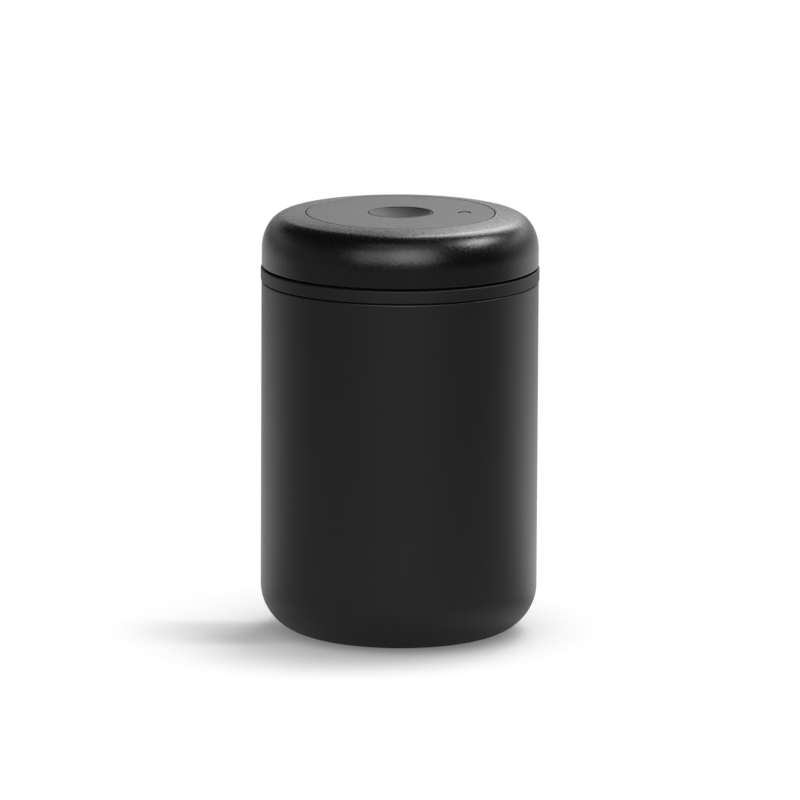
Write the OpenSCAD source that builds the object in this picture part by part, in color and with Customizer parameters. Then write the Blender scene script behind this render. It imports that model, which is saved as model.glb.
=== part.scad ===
// Twist-to-pump vacuum canister for coffee beans and other dry food.
// Turning the cap to and fro drives a ring-shaped piston up and down through a cam ring. The piston
// draws air out of the steel body past one-way valves, and the button in the middle lets it back in.
// Millimetres, +Z up. Origin: middle of the foot, on the table. The seal indicator lies towards +X.

/* [Steel body] */
// Outer diameter of the steel body
body_d = 119.9; // [105:0.1:140]
// Height from the foot to the rim
body_h = 154.1; // [110:0.1:240]
// Thickness of the drawn sheet
body_wall = 0.8; // [0.5:0.1:1.4]
// Outer radius of the corner above the foot
body_corner = 20.4; // [10:0.1:26]
// Width of the flat ring that stands on the table
foot_land = 6.3; // [3:0.1:10]
// Rise of the underside inside that ring
foot_rise = 1.2; // [0.5:0.1:2.5]

/* [Lid and cap outside] */
// Gap between the body's rim and the band above it
rim_gap = 0.3; // [0.1:0.05:1]
// Overhang of the band past the body
band_overhang = 0.3; // [0.2:0.05:1.5]
// Height of the band
band_h = 5.4; // [4:0.1:10]
// Edge rounding of the band
band_edge = 0.5; // [0.2:0.1:1]
// Height of the dark slit between the band and the cap
cap_slit = 1; // [0.6:0.1:2]
// Step from the band in to the cap
cap_inset = 0.4; // [0.2:0.05:1.2]
// Height of the cap
cap_h = 22.8; // [20:0.1:32]
// Width of the cap's rounded shoulder
shoulder_w = 10.5; // [8:0.1:14]
// Height of the cap's rounded shoulder
shoulder_h = 14.8; // [12:0.1:17]
// Slope of the cap's top from the ring seam out to the shoulder, in degrees
crown_slope = 6.8; // [0:0.1:9]
// Thickness of the cap's moulded wall
cap_wall = 2.4; // [1.8:0.1:3]
// Edge rounding at the cap's lower end
cap_edge = 0.5; // [0.2:0.1:1]
// Thickness of the round top plate
plate_t = 2.1; // [1.6:0.1:3]
// Width of the ring seam round the top plate
seam_gap = 0.4; // [0.2:0.05:0.8]
// Bevel of the edges at the seams in the top
seam_bevel = 0.2; // [0.1:0.05:0.4]

/* [Plug and gasket] */
// Gap between the plug and the inside of the body
plug_gap = 1.3; // [0.8:0.1:2]
// Gap between the upstand and the cap that turns round it
upstand_gap = 0.55; // [0.3:0.05:1]
// Wall of the upstand that hides the mechanism behind the slit
upstand_wall = 2; // [1.4:0.1:3]
// Height of the upstand above the band
upstand_h = 5; // [3:0.1:7]
// Thickness of the lid's floor
floor_t = 2.5; // [2:0.1:4]
// Distance from the band's underside down to the gasket
gasket_drop = 6.4; // [3:0.1:10]
// Height of the gasket
gasket_h = 12; // [8:0.5:16]
// Depth of the gasket's groove
gasket_depth = 1.4; // [1:0.1:1.8]
// Gap between the gasket's fins and the body at rest
fin_gap = 0.3; // [0.2:0.05:0.6]
// Thickness of the perforated cover under the plug
cover_t = 1.8; // [1.4:0.1:3]
// Number of air slots in that cover
cover_slots = 20; // [12:1:28]
// Number of stiffening ribs on the lid's floor
floor_ribs = 12; // [6:1:18]

/* [Pump] */
// Turn of the cap from stop to stop, in degrees
twist_angle = 75; // [50:1:85]
// Stroke of the piston
stroke = 14; // [8:0.5:18]
// Bore radius of the pump cylinder
bore_r = 23; // [20:0.25:24.5]
// Wall of the pump cylinder
cylinder_wall = 2; // [1.5:0.1:2.5]
// Height of the piston's rim
piston_h = 7; // [6:0.5:10]
// Outer radius of the centre tube that the piston slides on
tube_r = 7; // [6.6:0.1:8]
// Bore radius of the centre tube
tube_bore_r = 5; // [4.6:0.1:5.6]
// Width of each piston arm
arm_w = 7.4; // [6.4:0.1:9]
// Height of each piston arm
arm_h = 6; // [5.6:0.1:8]
// Radius of the steel drive pins
pin_r = 2.5; // [1.8:0.1:2.6]
// Wall of the guide tower
tower_wall = 2.6; // [2:0.1:4]
// Wall of the cam ring
cam_wall = 3.4; // [2.6:0.1:4]

/* [Release button] */
// Radius of the button
button_r = 13.6; // [11:0.1:15]
// Depth of the hollow in the button
dish_depth = 2.8; // [0.6:0.1:3]
// Travel of the button
press_travel = 3; // [2:0.1:3.2]
// Radius of the button's stem
stem_r = 3.2; // [2.6:0.1:3.4]
// Radius of the rubber seal on the stem
poppet_r = 6.6; // [6:0.1:7]
// Thickness of the rubber seal
poppet_t = 2; // [1.6:0.1:3]
// Wire radius of the return spring
spring_wire_r = 0.5; // [0.3:0.05:0.6]
// Number of turns of the return spring
spring_turns = 8; // [6:1:12]

/* [Seal indicator] */
// Radius of the indicator pin
indicator_r = 2.5; // [2.2:0.1:3.4]
// Travel of the indicator pin
indicator_travel = 2.5; // [1.5:0.1:3.5]
// Outer radius of the indicator's cylinder
indicator_cup_r = 7.2; // [6.6:0.1:7.6]
// Height left for the indicator's spring when the pin is down
sense_room = 8.2; // [6:0.1:11]
// Radius of the sensing tube under it
sense_r = 3.2; // [2.6:0.1:3.6]
// Wire radius of the indicator's spring
sense_wire_r = 0.35; // [0.2:0.05:0.45]

/* [Fit] */
// Radial clearance of a running fit
fit_gap = 0.08; // [0.02:0.01:0.1]
// Gap between moving parts that don't bear on each other
run_gap = 0.3; // [0.25:0.05:0.5]
// Clearance round a screw or pin in its hole
hole_gap = 0.05; // [0.02:0.01:0.1]

/* [Hidden] */
$fn = 96;
// How far a cut reaches past the face that it opens
overrun = 1;
// How far two joined shapes run into each other
root = 0.6;
// Segments in a quarter of a large and of a small rounding
corner_steps = 18;
edge_steps = 4;

// Radii from the outside in
body_r = body_d / 2;
body_in_r = body_r - body_wall;
foot_recess_r = body_r - body_corner - foot_land - foot_rise;
band_r = body_r + band_overhang;
cap_r = band_r - cap_inset;
cap_in_r = cap_r - cap_wall;
upstand_r = cap_in_r - upstand_gap;
lid_in_r = upstand_r - upstand_wall;
plug_r = body_in_r - plug_gap;
groove_r = plug_r - gasket_depth;

// Radii from the pump's bore out
cylinder_r = bore_r + cylinder_wall;
cylinder_foot_w = 2.5;
cylinder_foot_r = cylinder_r + cylinder_foot_w;
sense_gap = 0.4;
sense_x = cylinder_foot_r + sense_gap + sense_r;
cup_lip = 0.5;
cup_edge_r = sense_x + sense_r + cup_lip;
indicator_x = cup_edge_r - indicator_cup_r;
tower_gap = 0.7;
tower_in_r = cup_edge_r + tower_gap;
tower_r = tower_in_r + tower_wall;
cam_in_r = tower_r + fit_gap;
cam_r = cam_in_r + cam_wall;
plate_cover = 3;
seam_r = tower_r + plate_cover;
plate_r = seam_r - seam_gap;
button_gap = 0.45;
button_hole_r = button_r + button_gap;

// Heights from the body up
flange_z = body_h + rim_gap;
band_top = flange_z + band_h;
cap_z = band_top + cap_slit;
top_z = cap_z + cap_h;
upstand_top = band_top + upstand_h;
groove_top = flange_z - gasket_drop;
groove_z = groove_top - gasket_h;

// Where the crowned top runs into the elliptic shoulder, and the height of the ellipse's middle
crown_angle = atan2(shoulder_h, shoulder_w * tan(crown_slope));
crown_r = cap_r - shoulder_w * (1 - cos(crown_angle));
shoulder_z = top_z - tan(crown_slope) * (crown_r - seam_r) - shoulder_h * sin(crown_angle);

// Heights from the top down
plate_z = top_z - plate_t;
ledge_t = 1.7;
ledge_gap = 0.5;
ledge_overlap = 0.2;
ledge_root = 1.6;
ledge_z = plate_z - run_gap - ledge_t;
tower_top = ledge_z - ledge_gap;
deck_drop = 4;
deck_t = 2.5;
deck_top = tower_top - deck_drop;
deck_z = deck_top - deck_t;
arm_clear = 1;
arm_z = deck_z - arm_clear - stroke - arm_h;
pin_z = arm_z + arm_h / 2;
cylinder_top = arm_z - arm_clear;
piston_rest_gap = 1.5;
mouth_margin = 1.5;
floor_z = cylinder_top - mouth_margin - stroke - piston_h - piston_rest_gap;
piston_z = floor_z + piston_rest_gap;
floor_under = floor_z - floor_t;

// Release valve under the floor
seat_h = 0.6;
seat_w = 1.2;
clip_t = 0.6;
clip_r = 3.8;
clip_grip = 0.5;
stem_tail = 0.6;
stem_neck_r = 2;
tail_gap = 0.5;
seat_z = floor_under - seat_h;
clip_z = seat_z - poppet_t - clip_t;
stem_z = clip_z - stem_tail;
cover_top = stem_z - press_travel - tail_gap;
cover_z = cover_top - cover_t;
cover_recess = 0.5;
cover_step = 1;
plug_z = cover_z - cover_recess;
plug_bevel = 1;
guide_t = 2;
vent_r = 0.7;
vents = 3;

// Cylinder foot, its seal, and the tower's foot over it
cylinder_foot_t = 3;
mouth_bevel = 0.6;
ring_seal_r = 0.75;
ring_groove_w = 1.8;
ring_groove_h = 1.6;
ring_land = 1.9;
ring_groove_r = bore_r + ring_land;
foot_clamp_t = 3;
foot_top = floor_z + cylinder_foot_t + foot_clamp_t;

// Piston, arms and one-way valves
piston_gap = 0.3;
piston_in_r = tube_r + piston_gap;
piston_r = bore_r - piston_gap;
piston_rim_w = 3.8;
piston_hub_w = 3.2;
piston_web_t = 2.4;
outer_seal_h = 3.2;
outer_seal_depth = 2.2;
inner_seal_h = 2.4;
inner_seal_depth = 1.6;
seal_bevel = 0.5;
seal_gap = 0.1;
arms = 3;
// The indicator stands at angle 0, halfway between an arm and a screw
first_arm = -90 / arms;
arm_tip_gap = 0.5;
arm_r = tower_r - arm_tip_gap;
arm_socket = 7;
pin_tip_gap = 0.3;
slot_w = arm_w + 2 * run_gap;
slot_top_gap = 0.5;
valve_x = (tube_r + bore_r) / 2;
valve_side_gap = 0.3;
valve_r = piston_r - piston_rim_w - valve_side_gap - valve_x;
valve_stem_r = valve_r / 3;
valve_barb_w = 0.7;
valve_barb_r = valve_stem_r + valve_barb_w;
valve_barb_h = 1.2;
valve_lip_t = 0.4;
valve_dome_h = 1.1;
valve_ports = 4;
valve_port_r = valve_r / 6;
valve_port_share = 0.62;

// Cam ring, its slots, and the shelf and ring that it turns on
cam_slot_gap = 0.35;
cam_land = 4.6;
cam_slot_steps = 26;
cam_slot_r = pin_r + cam_slot_gap;
cam_z = pin_z - cam_slot_r - cam_land;
cam_top = ledge_z - run_gap;
cam_flange_drop = 3;
cam_flange_t = 2.5;
cam_flange_top = ledge_z - cam_flange_drop;
cam_flange_z = cam_flange_top - cam_flange_t;
glide_t = 1;
glide_play = 0.1;
glide_z = cam_z - glide_play - glide_t;
shelf_t = 2.5;
shelf_w = 4;
shelf_z = glide_z - shelf_t;

// Screws: one size for the cap, one for the tower and the cover
cap_screws_n = 6;
cap_screw_r = 1.2;
cap_head_r = 2.7;
cap_head_h = 1.8;
cap_screw_bite = 3.4;
cap_boss_r = 2.9;
head_rim = 0.6;
lid_screw_r = 1.45;
lid_head_r = 2.8;
lid_head_h = 2;
lid_boss_r = 3.4;
lid_boss_h = 5;
lid_bite_gap = 0.6;
tower_screw_x = (cylinder_foot_r + tower_in_r) / 2;
first_screw = first_arm - 180 / arms;
cover_boss_gap = 4;
cover_boss_r = 3.4;
cover_screw_x = lid_in_r - cover_boss_gap - cover_boss_r;
cover_head_h = 1.2;
cover_screw_bite = 5;
socket_share = 0.5;
dome_in_r = cap_r - shoulder_w + (shoulder_w - cap_wall)
  * sqrt(1 - pow(max(cam_flange_top - shoulder_z, 0) / (shoulder_h - cap_wall), 2));
cap_screw_x = (cam_r + dome_in_r) / 2;
cam_flange_r = cap_screw_x + cap_head_r + head_rim;

// Top plate: collar round the button, spigot on the deck, three snap legs
collar_w = 1.5;
collar_gap = 0.5;
spigot_w = 1.7;
spigot_r = tower_in_r - run_gap;
leg_w = 6;
leg_t = 1.6;
leg_hook = 0.9;
leg_hook_h = 1.1;
leg_gap = 0.3;
leg_r = spigot_r - spigot_w;

// Button, stem and return spring
button_plate_t = 1.8;
button_skirt_w = 1.4;
button_skirt_gap = 0.5;
button_boss_w = 1.3;
button_boss_gap = 1;
button_roof_t = 1.5;
dish_r = button_r - seam_bevel;
dish_sphere_r = (dish_r * dish_r + dish_depth * dish_depth) / (2 * dish_depth);
button_under = top_z - dish_depth - button_plate_t;
button_skirt_z = deck_top + press_travel + button_skirt_gap;
button_boss_r = stem_r + button_boss_w;
button_boss_z = cylinder_top + arm_clear + stroke + arm_h - button_boss_gap;
stem_top = top_z - dish_depth - button_roof_t;
spring_side_gap = 0.4;
spring_r = button_boss_r + spring_side_gap + spring_wire_r;
spring_end_gap = 0.05;
deck_hole_gap = 0.5;
deck_hole_r = spring_r + spring_wire_r + deck_hole_gap;
coil_sides = 6;
coil_steps = 16;

// Indicator
indicator_wall = 1.2;
indicator_bore_r = indicator_cup_r - indicator_wall;
indicator_floor_t = 1.6;
indicator_hole_gap = 0.4;
indicator_head_gap = 0.4;
indicator_head_r = indicator_bore_r - indicator_head_gap;
indicator_head_h = 2.4;
indicator_cup_h = indicator_floor_t + sense_room + indicator_travel + indicator_head_h + run_gap;
indicator_seal_h = 1.2;
indicator_seal_depth = 0.8;
indicator_top_gap = 0.1;
indicator_head_top = deck_z - run_gap;
indicator_cup_z = deck_z - indicator_cup_h;
sense_bore_r = 1.5;
sense_seat = 1.4;
sense_spring_r = 4.2;
sense_spring_turns = 5;

// Filter under the inlet valve
filter_r = 5.6;
filter_wall = 1.2;
filter_step = 0.4;
filter_drop = 3.4;
filter_t = 0.4;
filter_rim = 0.7;
filter_hole_r = 0.5;
filter_pitch = 1.5;

rib_t = 1.6;
rib_h = 10;
rib_gap = 1.5;
slot_bar_w = 1.6;
slot_from_share = 0.26;
slot_to_share = 0.6;

// Points along an elliptic or round arc, for the curved stretches of a lathe profile
function oval(x, y, w, h, from, to, steps) =
  [for (i = [0:steps]) let (a = from + (to - from) * i / steps) [x + w * cos(a), y + h * sin(a)]];
function arc(x, y, r, from, to, steps) = oval(x, y, r, r, from, to, steps);

// Angles of things spaced evenly round the axis
function around(count, first = 0) = [for (i = [0:count - 1]) first + 360 * i / count];

// The cap's outline, drawn in by an inset and filled to the axis
function cap_outline(inset) = concat(
  inset > 0
    ? [[0, cap_z - overrun], [cap_r - inset, cap_z - overrun]]
    : concat([[0, cap_z]], arc(cap_r - cap_edge, cap_z + cap_edge, cap_edge, -90, 0, edge_steps)),
  oval(cap_r - shoulder_w, shoulder_z, shoulder_w - inset, shoulder_h - inset, 0, crown_angle,
       corner_steps),
  [[seam_r, top_z - inset], [0, top_z - inset]]);

// A ring of rectangular section
module ring(inner, outer, z, height) {
  translate([0, 0, z])
    difference() {
      cylinder(r = outer, h = height);
      translate([0, 0, -overrun])
        cylinder(r = inner, h = height + 2 * overrun);
    }
}

// A pan-head screw with a hexagon socket: its head stands on z = 0 and its shank points down
module screw(shank_r, shank_l, head_r, head_h) {
  difference() {
    union() {
      cylinder(r = head_r, h = head_h);
      translate([0, 0, -shank_l])
        cylinder(r = shank_r, h = shank_l + head_h / 2);
    }
    translate([0, 0, head_h / 2])
      cylinder(r = head_r * socket_share, h = head_h, $fn = 6);
  }
}

// A rubber seal ring whose bearing side has bevelled corners
module seal_ring(back_r, face_r, height) {
  bevel = back_r < face_r ? -seal_bevel : seal_bevel;
  rotate_extrude()
    polygon([
      [back_r, -height / 2], [face_r + bevel, -height / 2],
      [face_r, -height / 2 + seal_bevel], [face_r, height / 2 - seal_bevel],
      [face_r + bevel, height / 2], [back_r, height / 2]
    ]);
}

// A one-way umbrella valve: its lip lies on z = 0 and its barb grips the far side of a web
module umbrella_valve(web_t) {
  rotate_extrude()
    polygon([
      [0, -web_t - valve_barb_h], [valve_stem_r, -web_t - valve_barb_h],
      [valve_barb_r, -web_t], [valve_stem_r, -web_t], [valve_stem_r, 0],
      [valve_r, 0], [valve_r, valve_lip_t], [valve_r / 2, valve_dome_h], [0, valve_dome_h]
    ]);
}

// The holes that such a valve covers, with the hole for its stem
module valve_holes(z, height) {
  translate([0, 0, z])
    cylinder(r = valve_stem_r + hole_gap, h = height);
  for (a = around(valve_ports, 360 / valve_ports / 2))
    rotate([0, 0, a])
      translate([valve_r * valve_port_share, 0, z])
        cylinder(r = valve_port_r, h = height);
}

// A round wire wound into an open coil that stands between two heights
module coil(r, wire_r, z0, z1, turns) {
  low = z0 + wire_r;
  high = z1 - wire_r;
  rings = turns * coil_steps;
  points = [for (i = [0:rings], k = [0:coil_sides - 1])
    let (a = 360 * i / coil_steps, b = 360 * k / coil_sides,
         out = r + wire_r * cos(b), up = low + (high - low) * i / rings + wire_r * sin(b))
    [out * cos(a), out * sin(a), up]];
  side_faces = [for (i = [0:rings - 1], k = [0:coil_sides - 1], half = [0, 1])
    let (p = i * coil_sides + k, q = i * coil_sides + (k + 1) % coil_sides,
         p2 = p + coil_sides, q2 = q + coil_sides)
    half == 0 ? [p, q, q2] : [p, q2, p2]];
  first_end = [for (k = [0:coil_sides - 1]) coil_sides - 1 - k];
  last_end = [for (k = [0:coil_sides - 1]) rings * coil_sides + k];
  polyhedron(points = points, faces = concat(side_faces, [first_end, last_end]));
}

module canister_body() {
  color("#26272a")
    rotate_extrude()
      polygon(concat(
        [[0, foot_rise], [foot_recess_r, foot_rise], [foot_recess_r + foot_rise, 0]],
        arc(body_r - body_corner, body_corner, body_corner, -90, 0, corner_steps),
        arc(body_r - body_wall / 2, body_h - body_wall / 2, body_wall / 2, 0, 180, edge_steps * 2),
        arc(body_r - body_corner, body_corner, body_corner - body_wall, 0, -90, corner_steps),
        [[foot_recess_r + foot_rise + body_wall / 2, body_wall],
         [foot_recess_r + body_wall / 2, foot_rise + body_wall], [0, foot_rise + body_wall]]));
}

// The turned shape of the lid's base: plug, band, upstand, floor and centre tube
module lid_base_lathe() {
  rotate_extrude()
    polygon(concat(
      [[lid_in_r + cover_step, plug_z], [plug_r - plug_bevel, plug_z], [plug_r, plug_z + plug_bevel],
       [plug_r, groove_z], [groove_r, groove_z], [groove_r, groove_top], [plug_r, groove_top],
       [plug_r, flange_z]],
      arc(band_r - band_edge, flange_z + band_edge, band_edge, -90, 0, edge_steps),
      arc(band_r - band_edge, band_top - band_edge, band_edge, 0, 90, edge_steps),
      [[upstand_r, band_top], [upstand_r, upstand_top], [lid_in_r, upstand_top],
       [lid_in_r, floor_z], [tube_r, floor_z], [tube_r, cylinder_top],
       [stem_r + fit_gap, cylinder_top], [stem_r + fit_gap, cylinder_top - guide_t],
       [tube_bore_r, cylinder_top - guide_t], [tube_bore_r, seat_z],
       [tube_bore_r + seat_w, seat_z], [tube_bore_r + seat_w, floor_under],
       [lid_in_r, floor_under], [lid_in_r, cover_top], [lid_in_r + cover_step, cover_top]]));
}

module lid_base() {
  color("#2b2c2f")
    difference() {
      union() {
        lid_base_lathe();
        for (a = around(floor_ribs, 360 / floor_ribs / 2))
          rotate([0, 0, a])
            translate([tower_r + rib_gap, -rib_t / 2, floor_z - root])
              cube([lid_in_r + root - tower_r - rib_gap, rib_t, rib_h + root]);
        for (a = around(arms, first_screw))
          rotate([0, 0, a])
            translate([tower_screw_x, 0, floor_under - lid_boss_h])
              cylinder(r = lid_boss_r, h = lid_boss_h + root);
        for (a = around(arms, first_arm))
          rotate([0, 0, a])
            translate([cover_screw_x, 0, cover_top])
              cylinder(r = cover_boss_r, h = floor_under - cover_top + root);
        translate([-valve_x, 0, 0])
          ring(filter_r - filter_step, filter_r + filter_wall, floor_under - filter_drop,
               filter_drop + root);
        translate([-valve_x, 0, 0])
          ring(filter_r, filter_r + filter_wall, floor_under - filter_drop - filter_t,
               filter_drop + root);
      }
      for (a = around(arms, first_screw))
        rotate([0, 0, a])
          translate([tower_screw_x, 0, floor_under - lid_boss_h + lid_bite_gap])
            cylinder(r = lid_screw_r + hole_gap, h = lid_boss_h + floor_t + overrun);
      for (a = around(arms, first_arm))
        rotate([0, 0, a])
          translate([cover_screw_x, 0, cover_top - overrun])
            cylinder(r = lid_screw_r + hole_gap, h = cover_screw_bite + overrun);
      translate([-valve_x, 0, 0])
        valve_holes(floor_under - overrun, floor_t + 2 * overrun);
      translate([sense_x, 0, floor_z - sense_seat])
        cylinder(r = sense_r + hole_gap, h = sense_seat + overrun);
      translate([sense_x, 0, floor_under - overrun])
        cylinder(r = sense_bore_r, h = floor_t + overrun);
      for (a = around(vents, first_arm))
        rotate([0, 0, a])
          translate([(tube_bore_r + stem_r) / 2, 0, cylinder_top - guide_t - overrun])
            cylinder(r = vent_r, h = guide_t + 2 * overrun);
    }
}

module rim_gasket() {
  fin_h = gasket_h / 5;
  gasket_in = groove_r + hole_gap;
  color("#3a3b3d")
    rotate_extrude() {
      translate([gasket_in, groove_z + seal_gap])
        square([plug_r - gasket_in, gasket_h - 2 * seal_gap]);
      for (k = [1, 3])
        translate([plug_r, groove_z + fin_h * (k + 1 / 2)])
          polygon([[-root, -fin_h / 2], [body_in_r - fin_gap - plug_r, fin_h / 6],
                   [body_in_r - fin_gap - plug_r, fin_h / 2], [-root, fin_h / 2]]);
    }
}

module bottom_cover() {
  outer = lid_in_r + cover_step - run_gap;
  color("#36373a")
    difference() {
      translate([0, 0, cover_z])
        cylinder(r = outer, h = cover_t);
      for (a = around(cover_slots))
        rotate([0, 0, a])
          translate([outer * slot_from_share, -slot_bar_w / 2, cover_z - overrun])
            cube([outer * (slot_to_share - slot_from_share), slot_bar_w, cover_t + 2 * overrun]);
      for (a = around(arms, first_arm))
        rotate([0, 0, a])
          translate([cover_screw_x, 0, cover_z]) {
            translate([0, 0, -overrun])
              cylinder(r = lid_screw_r + hole_gap, h = cover_t + 2 * overrun);
            cylinder(r1 = lid_head_r + hole_gap, r2 = lid_screw_r + hole_gap, h = cover_head_h);
          }
    }
}

module cover_screws() {
  color("#8d9094")
    for (a = around(arms, first_arm))
      rotate([0, 0, a])
        translate([cover_screw_x, 0, cover_z])
          difference() {
            union() {
              cylinder(r1 = lid_head_r, r2 = lid_screw_r, h = cover_head_h);
              cylinder(r = lid_screw_r, h = cover_t + cover_screw_bite - lid_bite_gap);
            }
            translate([0, 0, -overrun])
              cylinder(r = lid_head_r * socket_share, h = cover_head_h / 2 + overrun, $fn = 6);
          }
}

module filter_mesh() {
  reach = ceil(filter_r / filter_pitch) + 1;
  color("#b9bcc0")
    translate([-valve_x, 0, floor_under - filter_drop - filter_t])
      difference() {
        cylinder(r = filter_r - hole_gap, h = filter_t);
        for (i = [-reach:reach], j = [-reach:reach])
          let (x = (i + j / 2) * filter_pitch, y = j * filter_pitch * sin(60))
            if (norm([x, y]) < filter_r - filter_rim - filter_hole_r)
              translate([x, y, -overrun])
                cylinder(r = filter_hole_r, h = filter_t + 2 * overrun);
      }
}

module inlet_valve() {
  color("#c9c4bb")
    translate([-valve_x, 0, floor_z])
      umbrella_valve(floor_t);
}

module pump_cylinder() {
  color("#4a4c50")
    rotate_extrude()
      polygon([
        [bore_r, floor_z], [ring_groove_r - ring_groove_w / 2, floor_z],
        [ring_groove_r - ring_groove_w / 2, floor_z + ring_groove_h],
        [ring_groove_r + ring_groove_w / 2, floor_z + ring_groove_h],
        [ring_groove_r + ring_groove_w / 2, floor_z], [cylinder_foot_r, floor_z],
        [cylinder_foot_r, floor_z + cylinder_foot_t], [cylinder_r, floor_z + cylinder_foot_t],
        [cylinder_r, cylinder_top], [bore_r + mouth_bevel, cylinder_top],
        [bore_r, cylinder_top - mouth_bevel]
      ]);
}

module cylinder_seal() {
  color("#5b2a24")
    rotate_extrude()
      translate([ring_groove_r, floor_z + ring_groove_h / 2])
        circle(r = ring_seal_r);
}

module guide_tower() {
  color("#3f4144")
    difference() {
      rotate_extrude()
        polygon([
          [cylinder_foot_r + run_gap, floor_z], [tower_r, floor_z], [tower_r, shelf_z],
          [tower_r + shelf_w, shelf_z], [tower_r + shelf_w, glide_z], [tower_r, glide_z],
          [tower_r, tower_top], [tower_in_r, tower_top], [tower_in_r, deck_top],
          [deck_hole_r, deck_top], [deck_hole_r, deck_z], [tower_in_r, deck_z],
          [tower_in_r, foot_top], [cylinder_r + run_gap, foot_top],
          [cylinder_r + run_gap, floor_z + cylinder_foot_t],
          [cylinder_foot_r + run_gap, floor_z + cylinder_foot_t]
        ]);
      for (a = around(arms, first_arm))
        rotate([0, 0, a])
          translate([cylinder_r, -slot_w / 2, floor_z - overrun])
            cube([tower_r + shelf_w + overrun - cylinder_r, slot_w,
                  deck_z - slot_top_gap - floor_z + overrun]);
      for (a = around(arms, first_screw))
        rotate([0, 0, a]) {
          translate([tower_screw_x, 0, floor_z - overrun])
            cylinder(r = lid_screw_r + hole_gap, h = foot_top - floor_z + 2 * overrun);
          translate([leg_r - leg_t - leg_hook, -leg_w / 2 - leg_gap, deck_z - overrun])
            cube([leg_t + leg_hook + leg_gap, leg_w + 2 * leg_gap, deck_t + 2 * overrun]);
        }
      translate([sense_x, 0, floor_z - overrun])
        cylinder(r = sense_r + run_gap, h = foot_top - floor_z + 2 * overrun);
      translate([indicator_x, 0, deck_z - overrun])
        cylinder(r = indicator_r + run_gap, h = deck_t + 2 * overrun);
    }
}

module tower_screws() {
  color("#8d9094")
    for (a = around(arms, first_screw))
      rotate([0, 0, a])
        translate([tower_screw_x, 0, foot_top])
          screw(lid_screw_r, foot_top - floor_under + lid_boss_h - 2 * lid_bite_gap,
                lid_head_r, lid_head_h);
}

module glide_ring() {
  color("#d8d6d0")
    ring(tower_r + fit_gap, cam_r, glide_z, glide_t);
}

module top_plate() {
  color("#242528")
    difference() {
      union() {
        rotate_extrude()
          polygon([
            [button_hole_r, deck_top + collar_gap],
            [button_hole_r + collar_w, deck_top + collar_gap],
            [button_hole_r + collar_w, plate_z], [spigot_r - spigot_w, plate_z],
            [spigot_r - spigot_w, deck_top], [spigot_r, deck_top], [spigot_r, plate_z],
            [plate_r, plate_z], [plate_r, top_z - seam_bevel], [plate_r - seam_bevel, top_z],
            [button_hole_r + seam_bevel, top_z], [button_hole_r, top_z - seam_bevel]
          ]);
        for (a = around(arms, first_screw))
          rotate([0, 0, a])
            translate([leg_r - leg_t, -leg_w / 2, deck_z - leg_gap - leg_hook_h]) {
              cube([leg_t, leg_w, plate_z + root - deck_z + leg_gap + leg_hook_h]);
              cube([leg_t + leg_hook, leg_w, leg_hook_h]);
            }
      }
      translate([indicator_x, 0, plate_z - overrun])
        cylinder(r = indicator_r + indicator_hole_gap, h = plate_t + 2 * overrun);
    }
}

module twist_cap() {
  color("#212225")
    difference() {
      union() {
        rotate_extrude() {
          difference() {
            polygon(cap_outline(0));
            polygon(cap_outline(cap_wall));
            square([seam_r, top_z + overrun]);
          }
          translate([tower_r - ledge_overlap, ledge_z])
            square([seam_r + ledge_root - tower_r + ledge_overlap, ledge_t]);
          translate([seam_r, ledge_z])
            square([ledge_root, top_z - cap_wall / 2 - ledge_z]);
        }
        intersection() {
          for (a = around(cap_screws_n))
            rotate([0, 0, a])
              translate([cap_screw_x, 0, cam_flange_top])
                cylinder(r = cap_boss_r, h = top_z - cam_flange_top);
          rotate_extrude()
            polygon(cap_outline(cap_wall / 2));
        }
      }
      for (a = around(cap_screws_n))
        rotate([0, 0, a])
          translate([cap_screw_x, 0, cam_flange_top - overrun])
            cylinder(r = cap_screw_r + hole_gap, h = cap_screw_bite + overrun);
    }
}

// The space that one drive pin runs in: a slot that climbs through the stroke as the cap turns
module cam_slot() {
  half_h = cam_slot_r * sqrt(1 + pow(stroke / (twist_angle * PI / 180 * cam_in_r), 2));
  end_angle = cam_slot_r / cam_in_r * 180 / PI;
  inner = cam_in_r - overrun;
  outer = cam_r + overrun;
  sweep = twist_angle + 2 * end_angle;
  last = cam_slot_steps;
  points = [for (i = [0:last], corner = [[inner, -1], [outer, -1], [outer, 1], [inner, 1]])
    let (a = end_angle - sweep * i / last,
         z = pin_z + stroke * min(max(-a / twist_angle, 0), 1) + half_h * corner[1])
    [corner[0] * cos(a), corner[0] * sin(a), z]];
  side_faces = [for (i = [0:last - 1], k = [0:3], half = [0, 1])
    let (p = 4 * i + k, q = 4 * i + (k + 1) % 4, p2 = p + 4, q2 = q + 4)
    half == 0 ? [p, q2, q] : [p, p2, q2]];
  polyhedron(points = points, faces = concat(side_faces,
    [[0, 1, 2, 3], [4 * last + 3, 4 * last + 2, 4 * last + 1, 4 * last]]));
}

module cam_ring() {
  color("#5a5c60")
    difference() {
      rotate_extrude()
        polygon([
          [cam_in_r, cam_z], [cam_r, cam_z], [cam_r, cam_flange_z],
          [cam_flange_r, cam_flange_z], [cam_flange_r, cam_flange_top], [cam_r, cam_flange_top],
          [cam_r, cam_top], [cam_in_r, cam_top]
        ]);
      for (a = around(arms, first_arm))
        rotate([0, 0, a]) {
          cam_slot();
          translate([cam_in_r - overrun, -cam_slot_r, cam_z - overrun])
            cube([cam_wall + 2 * overrun, 2 * cam_slot_r, pin_z - cam_z + overrun]);
        }
      for (a = around(cap_screws_n))
        rotate([0, 0, a])
          translate([cap_screw_x, 0, cam_flange_z - overrun])
            cylinder(r = cap_screw_r + hole_gap, h = cam_flange_t + 2 * overrun);
    }
}

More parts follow.
